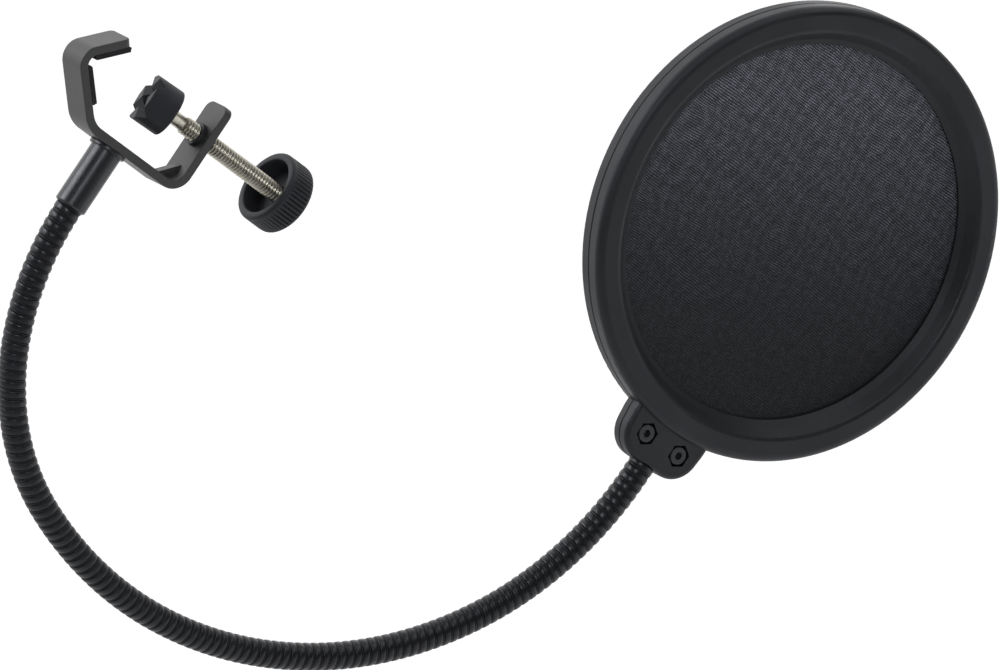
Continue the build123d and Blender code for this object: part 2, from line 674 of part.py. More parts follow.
def tab_screws():
    """Two socket cap screws through the tab."""
    head_top = POCKET_DEPTH - TAB_FRONT_DEPTH - M3_HEAD_HEIGHT
    head_floor = POCKET_DEPTH - TAB_FRONT_DEPTH
    shank_end = nut_floor() + M3_NUT_HEIGHT
    screw = disc_y(M3_HEAD_RADIUS, head_top, head_floor)
    rim = screw.edges().filter_by(GeomType.CIRCLE).sort_by(Axis.Y)[0]
    screw = fillet(rim, SOFT_EDGE)
    screw += disc_y(M3_RADIUS, head_floor, shank_end)
    screw -= hexagon_y(M3_SOCKET_WIDTH, head_top - 1, head_top + M3_SOCKET_DEPTH)
    return [in_disc(one) for one in at_tab_screws(screw)]


def tab_nuts():
    """Two nuts in the back of the tab."""
    nut = hexagon_y(M3_NUT_WIDTH, nut_floor(), nut_floor() + M3_NUT_HEIGHT)
    nut -= disc_y(M3_RADIUS, nut_floor() - 1, TAB_BACK_DEPTH + 1)
    return [in_disc(one) for one in at_tab_screws(nut)]


def all_parts():
    """Every node's shape by name."""
    parts = {
        "clamp_bracket": clamp_bracket(),
        "lip_pad": pad(1),
        "side_pad": pad(-1),
        "screw_bush": screw_bush(),
        "clamp_screw": clamp_screw(),
        "jaw_clip": jaw_clip(),
        "jaw_seat": jaw_seat(),
        "jaw": jaw(),
        "knob": knob(),
        "collar_washer": collar_washer(),
        "neck_ferrule": neck_ferrule(),
        "ferrule_screw": ferrule_screw(),
        "front_ring": front_ring(),
        "back_ring": back_ring(),
        "front_mesh": mesh_disc(LIP_FRONT_Y),
        "back_mesh": mesh_disc(LIP_FRONT_Y + MESH_SPACING),
        "spacer_ring": spacer_ring(),
        "tab_screws": Compound(children=tab_screws()),
        "tab_nuts": Compound(children=tab_nuts()),
    }
    for index in range(JOINT_COUNT + 1):
        parts[f"neck_casing_{index:02d}"] = neck_casing(index)
        parts[f"neck_core_{index:02d}"] = neck_core(index)
    return parts


os.makedirs("parts", exist_ok=True)
for node, shape in all_parts().items():
    export_step(shape, f"parts/{node}.step")
for joint in range(JOINT_COUNT):
    x, z, heading = neck_point((joint + 0.5) * JOINT_PITCH)
    print(f"neck joint {joint + 1}: x {x:.2f} z {z:.2f} heading {heading:.2f}")
centre = in_disc(Pos(0, 0, 0) * Sphere(1)).center()
print(f"disc centre: x {centre.X:.2f} z {centre.Z:.2f}")
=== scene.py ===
import json
import math

import bmesh
import bpy
import numpy as np
from mathutils import Matrix, Vector


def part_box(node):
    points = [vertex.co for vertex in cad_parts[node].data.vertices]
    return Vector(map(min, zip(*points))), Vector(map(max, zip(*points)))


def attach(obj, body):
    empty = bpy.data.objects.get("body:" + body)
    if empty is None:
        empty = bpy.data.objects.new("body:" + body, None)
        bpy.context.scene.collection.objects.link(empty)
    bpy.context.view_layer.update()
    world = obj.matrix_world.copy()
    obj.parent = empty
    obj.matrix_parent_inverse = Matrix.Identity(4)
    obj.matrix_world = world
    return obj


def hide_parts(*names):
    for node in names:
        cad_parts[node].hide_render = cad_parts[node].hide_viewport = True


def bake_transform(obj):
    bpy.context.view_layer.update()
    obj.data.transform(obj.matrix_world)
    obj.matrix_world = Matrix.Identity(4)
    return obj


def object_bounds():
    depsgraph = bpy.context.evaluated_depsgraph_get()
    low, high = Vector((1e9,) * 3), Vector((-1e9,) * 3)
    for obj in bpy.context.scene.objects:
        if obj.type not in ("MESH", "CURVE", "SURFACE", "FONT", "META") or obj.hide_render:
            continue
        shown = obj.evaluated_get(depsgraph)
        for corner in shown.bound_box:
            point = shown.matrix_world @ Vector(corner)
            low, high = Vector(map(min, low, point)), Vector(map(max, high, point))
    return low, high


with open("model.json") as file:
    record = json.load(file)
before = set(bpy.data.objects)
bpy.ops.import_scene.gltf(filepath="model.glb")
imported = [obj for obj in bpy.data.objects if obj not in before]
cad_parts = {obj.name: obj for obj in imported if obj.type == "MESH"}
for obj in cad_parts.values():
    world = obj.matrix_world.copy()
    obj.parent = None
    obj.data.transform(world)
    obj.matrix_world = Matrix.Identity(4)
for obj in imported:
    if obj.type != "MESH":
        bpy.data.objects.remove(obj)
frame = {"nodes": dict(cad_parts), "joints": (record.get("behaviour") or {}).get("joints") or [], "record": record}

# The looks of a pop filter: screw clamp, wound gooseneck, and a disc with two layers of cloth.
# Metres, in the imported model's frame. Shapes are placed from the CAD nodes and joints.
CAD_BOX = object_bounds()
MM = 0.001
JOINTS = {joint["name"]: joint for joint in frame["joints"]}
NECK_JOINTS = [joint for joint in frame["joints"] if joint["name"].startswith("neck_")]
WELD = 1e-7                       # vertices nearer than this are one

# ---- camera ----
CAMERA_AZIMUTH = -30.32
CAMERA_ELEVATION = 16.99
CAMERA_LENS = 800.0
CAMERA_SENSOR = 36.0
FRAME_WIDTH = 327.56 * MM         # what the picture's width takes in, across the object
AIM = Vector((141.55, 0, -106.07)) * MM

# ---- neck ----
NECK_PITCH = 3.1 * MM             # one turn of the wound casing
NECK_COLUMNS = 44
NECK_SHARP = 60                   # creases steeper than this many degrees stay sharp
# (share of the pitch, radius in mm) over one turn: broad crown, groove, narrow ridge, groove
NECK_PROFILE = (
    (0.00, 4.65), (0.10, 4.65), (0.20, 4.63), (0.28, 4.57), (0.335, 4.46), (0.37, 4.29), (0.387, 4.12),
    (0.405, 4.26), (0.435, 4.36), (0.50, 4.40), (0.565, 4.36), (0.595, 4.26),
    (0.613, 4.12), (0.63, 4.29), (0.665, 4.46), (0.72, 4.57), (0.80, 4.63), (0.90, 4.65),
)
NECK_INTO_FERRULE = 2.0 * MM

# ---- screw ----
THREAD_PITCH = 1.27 * MM
THREAD_START = 28.1 * MM
THREAD_COLUMNS = 36
THREAD_SHARP = 60                 # degrees
# (share of the pitch, radius in mm) over one turn: root, flank, crest, flank
THREAD_PROFILE = ((0.0, 2.40), (0.10, 2.46), (0.39, 3.02), (0.5, 3.1), (0.61, 3.02), (0.90, 2.46))
TIP_RADIUS = 2.4 * MM
TIP_CHAMFER = 0.4 * MM
TIP_TAPER = 0.2 * MM              # where the tip runs into the thread
TIP_OVERLAP = 0.1 * MM
TIP_COLUMNS = 48
TIP_SHARP = 50                    # degrees
CLIP_GROOVE_HALF = 0.45 * MM      # half the width of the groove for the clip
CLIP_GROOVE_RADIUS = 1.9 * MM

# ---- knob ----
KNOB_RADIUS = 12.55 * MM
KNOB_CUP = 9.8 * MM               # radius of the hollow that faces the clamp
KNOB_WALL = 3.0 * MM              # behind the hollow
KNOB_SKIN = 0.4 * MM              # how far the screw's hole goes into that wall
KNOB_HOLE = 3.1 * MM              # its radius
KNOB_DISH = 7.4 * MM              # radius of the shallow dish in the back
KNOB_SHARP = 55                   # degrees
KNOB_RIBS = 54
RIB_COLUMNS = 10                  # mesh columns across one rib
RIB_DEPTH = 0.6 * MM
RIB_GAP = 0.24                    # half of a groove's width, as a share of the ribs' spacing

# ---- cloth ----
CLOTH_RADIUS = 67.4 * MM
CLOTH_COLUMNS = 96
CLOTH_RINGS = 14
CLOTH_SHARP = 50                  # degrees
CLOTH_ROW = 0.8 * MM              # from one row of threads to the next
CLOTH_DASH = 0.85 * MM            # length of the threads that show on top
CLOTH_THREAD = 0.25 * MM          # and their width
CLOTH_BAND = 4.6 * MM             # spacing of the moire between the two layers
CLOTH_DRIFT = 24 * MM             # size of the weave's slow wander
CLOTH_PAINTED_LIGHT_SIDE = Vector((0.25, 0, 1))          # the way in which painted light makes the cloth lighter
CLOTH_PAINTED_SHADE_REACH = 0.8                  # radii from the middle back to the darkest painted shade
CLOTH_PAINTED_LIGHT_REACH = 0.75                # and on to the lightest painted light

# ---- finishes ----
COOL = (0.90, 0.92, 1.0, 1.0)     # the faint blue of the black parts' shine

# ---- studio ----
BACKDROP_SIDE = (0.12, 0.95, -0.1)
BACKDROP_RAMP = (-0.35, 0.75, 0.07, 1.5)      # from and to along that side, and the strengths there
FLOOR_REACH = 30.0
FLOOR_DROP = 1.2                  # below the object
FLOOR_SHADE = 0.75
FLOOR_GLOW = (0.10, 0.62)         # painted light: glow of the near and the far part
FLOOR_SIDE = (0.483, 0.826, 0)    # the way from near to far
FLOOR_FADE = 2.5                  # to both sides of the object
# name, direction from the object, distance, size, watts
LIGHTS = (
    ("key", (0.75, -0.6, -0.35), 1.3, (0.8, 0.8), 1.1),
    ("front", (-0.38, -0.72, 0.58), 1.5, (0.42, 0.42), 5.0),
    ("top", (0.45, -0.4, 0.8), 1.5, (1.3, 1.0), 6.0),
    ("rim", (-0.85, 0.35, 0.75), 1.5, (0.9, 0.5), 10),
)


# ======================================================================== frames

SCREW_AXIS = Vector(JOINTS["screw_turn"]["axis"]).normalized()
ACROSS = Vector((0, 1, 0))
CLAMP = Matrix((SCREW_AXIS, ACROSS, SCREW_AXIS.cross(ACROSS))).transposed()
SCREW_POINT = Vector(JOINTS["screw_turn"]["pos_m"])
SCREW_START = SCREW_POINT - SCREW_AXIS * SCREW_POINT.dot(SCREW_AXIS)


def box_along(node, axes):
    """Lowest and highest corner of a CAD node measured along the columns of a 3x3 matrix."""
    points = np.array([vertex.co for vertex in frame["nodes"][node].data.vertices])
    turned = points @ np.array(axes)
    return Vector(turned.min(0)), Vector(turned.max(0))


def disc_frame():
    """Centre of the disc and a matrix whose columns are right, depth and up, away from the tab."""
    low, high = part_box("front_mesh")
    centre = (low + high) / 2
    axis = Vector(JOINTS["neck_side_12"]["axis"])
    last = Vector(JOINTS["neck_side_12"]["pos_m"])
    up = centre - last
    up.y = 0
    up.normalize()
    right = ACROSS.cross(up)
    return Vector((centre.x, 0, centre.z)), Matrix((right, ACROSS, up)).transposed()


DISC_CENTRE, DISC = disc_frame()


# ======================================================================== neck's centre line

def neck_stations():
    """Distance, x, z, heading and curvature at each neck joint but the last, from the joints."""
    points = [Vector(joint["pos_m"]) for joint in NECK_JOINTS]
    headings = [0.0] * len(NECK_JOINTS)
    for index in reversed(range(len(NECK_JOINTS))):
        axis = NECK_JOINTS[index]["axis"]
        if abs(axis[1]) < 0.5:
            headings[index] = math.atan2(-axis[0], axis[2])
        else:
            chord = points[index + 1] - points[index]
            headings[index] = 2 * math.atan2(chord.z, chord.x) - headings[index + 1]
    stations = []
    for index in range(len(NECK_JOINTS) - 1):
        half_turn = (headings[index + 1] - headings[index]) / 2
        chord = (points[index + 1] - points[index]).length
        length = chord * half_turn / math.sin(half_turn)
        distance = (index + 0.5) * length
        point = points[index]
        stations.append((distance, point.x, point.z, headings[index], 2 * half_turn / length))
    return np.array(stations)


STATIONS = neck_stations()
JOINT_PITCH = 2 * STATIONS[0][0]
JOINT_COUNT = len(NECK_JOINTS)
NECK_LENGTH = JOINT_PITCH * JOINT_COUNT


def neck_line(distance):
    """Centre points and headings at distances from the ferrule's mouth; straight past both ends."""
    distance = np.asarray(distance, float)
    curved = np.clip(distance, 0, NECK_LENGTH)
    which = np.clip((curved / JOINT_PITCH - 0.5).astype(int), 0, len(STATIONS) - 1)
    start, x, z, heading, curvature = STATIONS[which].T
    turned = heading + (curved - start) * curvature
    x = x + (np.sin(turned) - np.sin(heading)) / curvature
    z = z - (np.cos(turned) - np.cos(heading)) / curvature
    beyond = distance - curved
    x = x + beyond * np.cos(turned)
    z = z + beyond * np.sin(turned)
    return np.stack([x, np.zeros_like(x), z], -1), turned


def around_neck(distance, angle, radius):
    """Points round the neck's centre line."""
    centre, heading = neck_line(distance)
    outward = np.stack([-np.sin(heading), np.zeros_like(heading), np.cos(heading)], -1)
    across = np.array([0.0, 1.0, 0.0])
    swing = outward * np.cos(angle)[:, None] + across * np.sin(angle)[:, None]
    return centre + swing * radius[:, None]


def around_screw(distance, angle, radius):
    """Points round the screw's axis, in the part's frame."""
    local = np.stack([distance, radius * np.cos(angle), radius * np.sin(angle)], -1)
    return np.array(SCREW_START) + local @ np.array(CLAMP).T


# ======================================================================== mesh helpers

def new_piece(name, vertices, faces, material, sharp_degrees):
    """A smooth-shaded mesh object with creases kept sharp."""
    mesh = bpy.data.meshes.new(name)
    mesh.from_pydata([tuple(v) for v in vertices], [], [tuple(f) for f in faces])
    mesh.update()
    piece = bpy.data.objects.new(name, mesh)
    bpy.context.scene.collection.objects.link(piece)
    finish_mesh(piece, sharp_degrees)
    mesh.materials.append(material)
    return piece


def finish_mesh(piece, sharp_degrees):
    """Faces outwards, smooth shading, sharp creases."""
    shape = bmesh.new()
    shape.from_mesh(piece.data)
    bmesh.ops.recalc_face_normals(shape, faces=shape.faces)
    shape.to_mesh(piece.data)
    shape.free()
    piece.data.shade_smooth()
    piece.data.set_sharp_from_angle(angle=math.radians(sharp_degrees))


def helical_grid(profile, pitch, columns, start, turns):
    """A ridge wound round an axis: distance, angle, radius and crown height per vertex, and faces.

    Each row follows the helix, and after one turn it meets the row one pitch further on."""
    rows_per_turn = len(profile)
    shares = np.array([share for share, _ in profile])
    radii = np.array([radius for _, radius in profile]) * MM
    last_row = turns * rows_per_turn
    lead_in = [(columns - 1, row) for row in range(-rows_per_turn, 0)]
    cells = lead_in + [(column, row) for row in range(last_row + 1) for column in range(columns)]
    column, row = np.array(cells).T
    phase = row % rows_per_turn
    turn = (row - phase) / rows_per_turn
    distance = start + pitch * (turn + shares[phase] + column / columns)
    angle = 2 * math.pi * column / columns
    radius = radii[phase]

    def index(at_column, at_row):
        if at_row < 0:
            return at_row + rows_per_turn
        return rows_per_turn + at_row * columns + at_column

    faces = []
    for at_row in range(last_row):
        for at_column in range(columns - 1):
            faces.append((
                index(at_column, at_row),
                index(at_column + 1, at_row),
                index(at_column + 1, at_row + 1),
                index(at_column, at_row + 1),
            ))
        before = at_row - rows_per_turn
        faces.append((
            index(columns - 1, before),
            index(0, at_row),
            index(0, at_row + 1),
            index(columns - 1, before + 1),
        ))
    crown = (radius - radii.min()) / (radii.max() - radii.min())
    return distance, angle, radius, crown, faces


def store(piece, name, values):
    """Keeps one number per vertex for the material."""
    attribute = piece.data.attributes.new(name, "FLOAT", "POINT")
    attribute.data.foreach_set("value", np.asarray(values, np.float32))


def trim(piece, point, normal):
    """Cuts off what lies past a plane and closes the cut."""
    shape = bmesh.new()
    shape.from_mesh(piece.data)
    everything = shape.verts[:] + shape.edges[:] + shape.faces[:]
    cut = bmesh.ops.bisect_plane(
        shape, geom=everything, dist=WELD, plane_co=point, plane_no=normal, clear_outer=True
    )
    edges = [item for item in cut["geom_cut"] if isinstance(item, bmesh.types.BMEdge)]
    bmesh.ops.contextual_create(shape, geom=edges)
    shape.to_mesh(piece.data)
    shape.free()


def close_ends(piece):
    """Closes every open boundary with a fan about its middle."""
    shape = bmesh.new()
    shape.from_mesh(piece.data)
    left = {edge for edge in shape.edges if edge.is_boundary}
    while left:
        seen = {left.pop()}
        front = list(seen)
        while front:
            edge = front.pop()
            near = {other for vertex in edge.verts for other in vertex.link_edges} & left
            left -= near
            seen |= near
            front += near
        corners = {vertex for edge in seen for vertex in edge.verts}
        middle = sum((vertex.co for vertex in corners), Vector()) / len(corners)
        hub = shape.verts.new(middle)
        for edge in seen:
            shape.faces.new((edge.verts[0], edge.verts[1], hub))
    shape.to_mesh(piece.data)
    shape.free()


def lathe(name, profile, columns, material, place, sharp_degrees, radius_change=None):
    """A closed body turned from (distance, radius) pairs; place maps distance, angle, radius.

    radius_change gives what is added to the radius at an angle, for every corner of the profile."""
    distances = np.array([distance for distance, _ in profile])
    radii = np.array([radius for _, radius in profile])
    angles = np.arange(columns) * 2 * math.pi / columns
    distance = np.repeat(distances, columns)
    radius = np.repeat(radii, columns)
    angle = np.tile(angles, len(profile))
    if radius_change is not None:
        radius = radius + radius_change(angle)
    faces = []
    for ring in range(len(profile)):
        following = (ring + 1) % len(profile)
        if radii[ring] == 0 and radii[following] == 0:
            continue
        for column in range(columns):
            beside = (column + 1) % columns
            faces.append((
                ring * columns + column,
                ring * columns + beside,
                following * columns + beside,
                following * columns + column,
            ))
    piece = new_piece(name, place(distance, angle, radius), faces, material, sharp_degrees)
    shape = bmesh.new()
    shape.from_mesh(piece.data)
    bmesh.ops.remove_doubles(shape, verts=shape.verts, dist=WELD)
    shape.to_mesh(piece.data)
    shape.free()
    finish_mesh(piece, sharp_degrees)
    return piece


# ======================================================================== materials

def colour(code):
    """Linear colour from an sRGB code such as 2f3034."""
    parts = [int(code[place:place + 2], 16) / 255 for place in (0, 2, 4)]
    linear = [part / 12.92 if part <= 0.04045 else ((part + 0.055) / 1.055) ** 2.4 for part in parts]
    return (*linear, 1.0)


class Finish:
    """A Principled material, with short calls that add nodes to it."""

    def __init__(self, name, **sockets):
        self.material = bpy.data.materials.new(name)
        self.material.use_nodes = True
        self.tree = self.material.node_tree
        self.shader = self.tree.nodes["Principled BSDF"]
        self.place = self.add("ShaderNodeTexCoord").outputs["Object"]
        for socket, value in sockets.items():
            self.set(socket.replace("_", " "), value)

    def add(self, kind, inputs=(), **settings):
        node = self.tree.nodes.new(kind)
        for key, value in settings.items():
            setattr(node, key, value)
        for socket, value in dict(inputs).items():
            self.feed(node.inputs[socket], value)
        return node

    def feed(self, socket, value):
        if isinstance(value, bpy.types.NodeSocket):
            self.tree.links.new(value, socket)
        else:
            socket.default_value = value

    def set(self, socket, value):
        self.feed(self.shader.inputs[socket], value)

    def noise(self, size, detail=3.0, place=None):
        """Cloudy noise whose features are about size metres across, from 0 to 1."""
        inputs = {"Vector": place or self.place, "Scale": 1 / size, "Detail": detail}
        return self.add("ShaderNodeTexNoise", inputs).outputs["Fac"]

    def stretch(self, value, low, high, from_low=0.0, from_high=1.0):
        """Maps a value from one range to another, clamped."""
        inputs = {
            "Value": value,
            "From Min": from_low,
            "From Max": from_high,
            "To Min": low,
            "To Max": high,
        }
        return self.add("ShaderNodeMapRange", inputs).outputs["Result"]

    def sum(self, first, second):
        return self.add("ShaderNodeMath", {0: first, 1: second}, operation="ADD").outputs[0]

    def product(self, first, second):
        return self.add("ShaderNodeMath", {0: first, 1: second}, operation="MULTIPLY").outputs[0]

    def mix(self, factor, first, second):
        inputs = {0: factor, 6: first, 7: second}
        return self.add("ShaderNodeMix", inputs, data_type="RGBA").outputs[2]

    def attribute(self, name):
        """A number that the mesh keeps at its vertices."""
        return self.add("ShaderNodeAttribute", attribute_name=name).outputs["Fac"]

    def along(self, direction, period):
        """Distance along a direction, counted in periods."""
        inputs = {0: self.place, 1: Vector(direction) / period}
        return self.add("ShaderNodeVectorMath", inputs, operation="DOT_PRODUCT").outputs["Value"]

    def wave(self, turns):
        """A smooth wave from 0 to 1, once for each whole number."""
        swing = self.add("ShaderNodeMath", {0: self.product(turns, 2 * math.pi)}, operation="SINE")
        return self.stretch(swing.outputs[0], 0.0, 1.0, -1.0, 1.0)

    def edges(self, radius):
        """1 on convex and concave edges, 0 on flat and gently curved faces."""
        rounded = self.add("ShaderNodeBevel", {"Radius": radius}, samples=6).outputs["Normal"]
        true = self.add("ShaderNodeNewGeometry").outputs["Normal"]
        likeness = self.add("ShaderNodeVectorMath", {0: rounded, 1: true}, operation="DOT_PRODUCT")
        return self.stretch(likeness.outputs["Value"], 1.0, 0.0, 0.80, 0.99)

    def bump(self, height, depth, normal=None):
        """Raises the surface by depth metres where height is 1."""
        inputs = {"Height": height, "Distance": depth}
        if normal is not None:
            inputs["Normal"] = normal
        result = self.add("ShaderNodeBump", inputs).outputs["Normal"]
        self.set("Normal", result)
        return result


def bracket_paint():
    """Satin grey-black powder paint with a fine orange peel, thin on the outer edges."""
    paint = Finish("bracket_paint", Specular_IOR_Level=0.55)
    cloud = paint.noise(9 * MM, 4)
    speck = paint.noise(0.35 * MM, 2)
    patches = paint.stretch(paint.noise(2.5 * MM, 5), 0, 1, 0.42, 0.66)
    worn = paint.product(paint.edges(0.35 * MM), patches)
    base = paint.mix(cloud, colour("2a2b2c"), colour("343534"))
    base = paint.mix(paint.stretch(speck, 0, 0.35, 0.55, 0.75), base, colour("4b4b48"))
    base = paint.mix(worn, base, colour("6a6862"))
    paint.set("Base Color", base)
    paint.set("Roughness", paint.stretch(speck, 0.40, 0.52, 0.3, 0.7))
    fine = paint.bump(paint.noise(0.22 * MM, 2), 0.012 * MM)
    paint.bump(paint.noise(1.1 * MM, 2), 0.03 * MM, fine)
    return paint.material


def rubber():
    """Matte black rubber with dust in its pores."""
    pad = Finish("pad_rubber", Specular_IOR_Level=0.3, Specular_Tint=COOL)
    dust = pad.noise(1.6 * MM, 6)
    dusty = pad.stretch(dust, 0, 1, 0.5, 0.75)
    pad.set("Base Color", pad.mix(dusty, colour("1b1b1d"), colour("2c2b2b")))
    pad.set("Roughness", pad.stretch(dust, 0.62, 0.85))
    fine = pad.bump(pad.noise(0.18 * MM, 3), 0.02 * MM)
    pad.bump(pad.noise(1.4 * MM, 3), 0.05 * MM, fine)
    return pad.material


def lacquer(name, dark, light, rough_low, rough_high):
    """Semi-gloss black lacquer over turned metal."""
    coat = Finish(name, Specular_IOR_Level=0.5, Specular_Tint=COOL)
    cloud = coat.noise(5 * MM, 4)
    rubbed = coat.product(coat.edges(0.3 * MM), coat.stretch(coat.noise(1.8 * MM, 5), 0, 1, 0.45, 0.7))
    base = coat.mix(cloud, colour(dark), colour(light))
    coat.set("Base Color", coat.mix(rubbed, base, colour("5a5850")))
    coat.set("Roughness", coat.stretch(coat.noise(0.9 * MM, 4), rough_low, rough_high, 0.3, 0.7))
    coat.bump(coat.noise(0.5 * MM, 2), 0.008 * MM)
    return coat.material


def casing():
    """Black wound casing: glossy crowns, dull grooves painted darker as shade, rubbed lighter here and there."""
    skin = Finish("casing_black", Specular_IOR_Level=0.38, Specular_Tint=COOL)
    crown = skin.attribute("crown")
    cloud = skin.noise(6 * MM, 4)
    # painted shade: the grooves get a darker base colour than the crowns
    base = skin.mix(skin.stretch(crown, 0, 1, 0.3, 0.9), colour("050506"), colour("131417"))
    rubbed = skin.product(skin.stretch(crown, 0, 1, 0.85, 1.0), skin.stretch(cloud, 0, 0.55, 0.5, 0.72))
    skin.set("Base Color", skin.mix(rubbed, base, colour("26272b")))
    rough = skin.stretch(skin.noise(0.8 * MM, 4), 0.27, 0.4, 0.3, 0.7)
    skin.set("Roughness", skin.sum(rough, skin.stretch(crown, 0.3, 0.0, 0.2, 0.9)))
    skin.bump(skin.noise(0.45 * MM, 3), 0.012 * MM)
    return skin.material


def nickel():
    """Slightly warm, dull nickel on a cut thread, darker in the roots."""
    steel = Finish("screw_steel", Metallic=1.0)
    cloud = steel.noise(3 * MM, 5)
    base = steel.mix(cloud, colour("a39f92"), colour("d4d0c4"))
    # the thread roots get a darker colour, broken up by noise
    root_darkening = steel.product(steel.attribute("root"), steel.stretch(steel.noise(1.2 * MM, 4), 0.35, 1.0))
    steel.set("Base Color", steel.mix(root_darkening, base, colour("4a463c")))
    steel.set("Roughness", steel.stretch(steel.noise(0.5 * MM, 4), 0.24, 0.42, 0.3, 0.7))
    steel.bump(steel.noise(0.25 * MM, 3), 0.01 * MM)
    return steel.material


def moulded(name, dark, light, grain, rough_low, rough_high, specular):
    """Matte black moulded plastic with a fine spark-eroded grain and handling marks."""
    plastic = Finish(name, Specular_IOR_Level=specular, Specular_Tint=COOL)
    cloud = plastic.noise(14 * MM, 5)
    speck = plastic.noise(grain, 2)
    base = plastic.mix(cloud, colour(dark), colour(light))
    base = plastic.mix(plastic.stretch(speck, 0, 0.25, 0.58, 0.78), base, colour("38393c"))
    patches = plastic.stretch(plastic.noise(3 * MM, 5), 0, 0.7, 0.45, 0.7)
    worn = plastic.product(plastic.edges(0.4 * MM), patches)
    plastic.set("Base Color", plastic.mix(worn, base, colour("4a4b4d")))
    smooth_patch = plastic.stretch(plastic.noise(22 * MM, 4), rough_low, rough_high, 0.35, 0.65)
    plastic.set("Roughness", plastic.sum(smooth_patch, plastic.stretch(speck, -0.05, 0.05)))
    plastic.bump(speck, 0.02 * MM)
    return plastic.material


def cloth():
    """Charcoal woven nylon: rows of short threads, painted specks of light, a soft moire, and painted light and
    shade across the cloth.
    """
    right, _, up = DISC.col
    weave = Finish(
        "mesh_cloth", Specular_IOR_Level=0.3, Specular_Tint=COOL, Sheen_Weight=0.15, Sheen_Roughness=0.4
    )
    inputs = {
        "X": weave.along(right, CLOTH_DASH),
        "Y": weave.along(up, CLOTH_THREAD),
        "Z": weave.along(ACROSS, CLOTH_THREAD),
    }
    dash = weave.noise(1.0, 0.5, weave.add("ShaderNodeCombineXYZ", inputs).outputs[0])
    drift = weave.noise(CLOTH_DRIFT, 2)

    def lines(direction, period, wander):
        """Even lines across a direction, which wander by some periods with the slow drift."""
        return weave.wave(weave.sum(weave.along(direction, period), weave.product(drift, wander)))

    row = lines(up, CLOTH_ROW, 5.0)
    column = lines(right, CLOTH_ROW, 3.0)
    height = weave.sum(weave.product(row, 0.38), weave.product(column, 0.22))
    height = weave.sum(height, weave.product(dash, 0.5))
    bands = lines(right, CLOTH_BAND, 4.5)
    ripple = lines(up, 1.4 * CLOTH_BAND, 4.0)
    moire = weave.stretch(weave.sum(bands, weave.product(ripple, 0.7)), 0.68, 1.14, 0.2, 1.6)
    # painted light and shade: the cloth is painted darker towards one side and lighter towards the other, and this
    # ramp, times the moire, scales its colour
    middle = DISC_CENTRE.dot(CLOTH_PAINTED_LIGHT_SIDE) / CLOTH_RADIUS
    painted_light_ramp = weave.stretch(
        weave.along(CLOTH_PAINTED_LIGHT_SIDE, CLOTH_RADIUS), 0, 1, middle - CLOTH_PAINTED_SHADE_REACH, middle + CLOTH_PAINTED_LIGHT_REACH
    )
    painted_light_level = weave.sum(weave.product(weave.product(painted_light_ramp, painted_light_ramp), 1.1), 0.1)
    painted_light_and_moire = weave.product(painted_light_level, moire)
    base = weave.mix(weave.product(height, painted_light_and_moire), colour("08090b"), colour("3a3b42"))
    # painted highlight: specks of light on the raised threads, painted into the base colour and scaled by the
    # painted light
    painted_glint = weave.product(weave.stretch(height, 0, 1, 0.52, 0.84), painted_light_and_moire)
    weave.set("Base Color", weave.mix(weave.product(painted_glint, 0.8), base, colour("878b96")))
    weave.set("Roughness", weave.stretch(dash, 0.78, 0.5, 0.3, 0.8))
    weave.bump(height, 0.12 * MM)
    return weave.material


def steel_plain():
    """Grey spring steel."""
    steel = Finish("spring_steel", Metallic=1.0)
    cloud = steel.noise(2 * MM, 4)
    steel.set("Base Color", steel.mix(cloud, colour("77766f"), colour("a8a69d")))
    steel.set("Roughness", steel.stretch(cloud, 0.3, 0.5, 0.3, 0.7))
    return steel.material


LOOKS = {
    "bracket_paint": bracket_paint(),
    "pad_rubber": rubber(),
    "bush_black": lacquer("bush_black", "17181a", "232427", 0.34, 0.5),
    "screw_steel": nickel(),
    "knob_plastic": moulded("knob_plastic", "17181b", "202125", 0.3 * MM, 0.5, 0.66, 0.4),
    "ferrule_black": lacquer("ferrule_black", "18191b", "222325", 0.26, 0.38),
    "casing_black": casing(),
    "spring_steel": steel_plain(),
    "ring_plastic": moulded("ring_plastic", "111215", "191a1d", 0.32 * MM, 0.42, 0.54, 0.42),
    "mesh_cloth": cloth(),
    "fastener_black": lacquer("fastener_black", "1a1b1c", "2a2b2c", 0.32, 0.46),
}


def dress_nodes():
    """Gives each CAD node the look of its material slot."""
    for row in frame["record"]["subparts"]:
        node = frame["nodes"][row["node"]]
        node.data.materials.clear()
        node.data.materials.append(LOOKS[row["material_slot"]])


# ======================================================================== pieces


def neck_skin():
    """The wound casing, one piece for each joint, joined where a body runs straight through."""
    turns = round(JOINT_PITCH / NECK_PITCH)
    pitch = JOINT_PITCH / turns
    for index in range(JOINT_COUNT):
        start = index * JOINT_PITCH
        more_turns = turns
        if index == 0:
            start -= pitch
            more_turns += 1
        distance, angle, radius, crown, faces = helical_grid(
            NECK_PROFILE, pitch, NECK_COLUMNS, start, more_turns
        )
        points = around_neck(distance, angle, radius)
        name = f"neck_skin_{index + 1:02d}"
        piece = new_piece(name, points, faces, LOOKS["casing_black"], NECK_SHARP)
        store(piece, "crown", crown)
        if index == 0:
            trim_neck(piece, -NECK_INTO_FERRULE, -1)
        if index == JOINT_COUNT - 1:
            trim_neck(piece, NECK_LENGTH, 1)
        close_ends(piece)
        finish_mesh(piece, NECK_SHARP)
        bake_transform(piece)
        stands_for = [f"neck_casing_{index:02d}", f"neck_core_{index:02d}"]
        if index == JOINT_COUNT - 1:
            stands_for.append(f"neck_casing_{JOINT_COUNT:02d}")
        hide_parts(*stands_for)


def trim_neck(piece, distance, sense):
    """Cuts the neck square at a distance, dropping what lies before (-1) or past (1) it."""
    points, headings = neck_line([distance])
    tangent = Vector((math.cos(headings[0]), 0, math.sin(headings[0])))
    trim(piece, Vector(points[0]), tangent * sense)


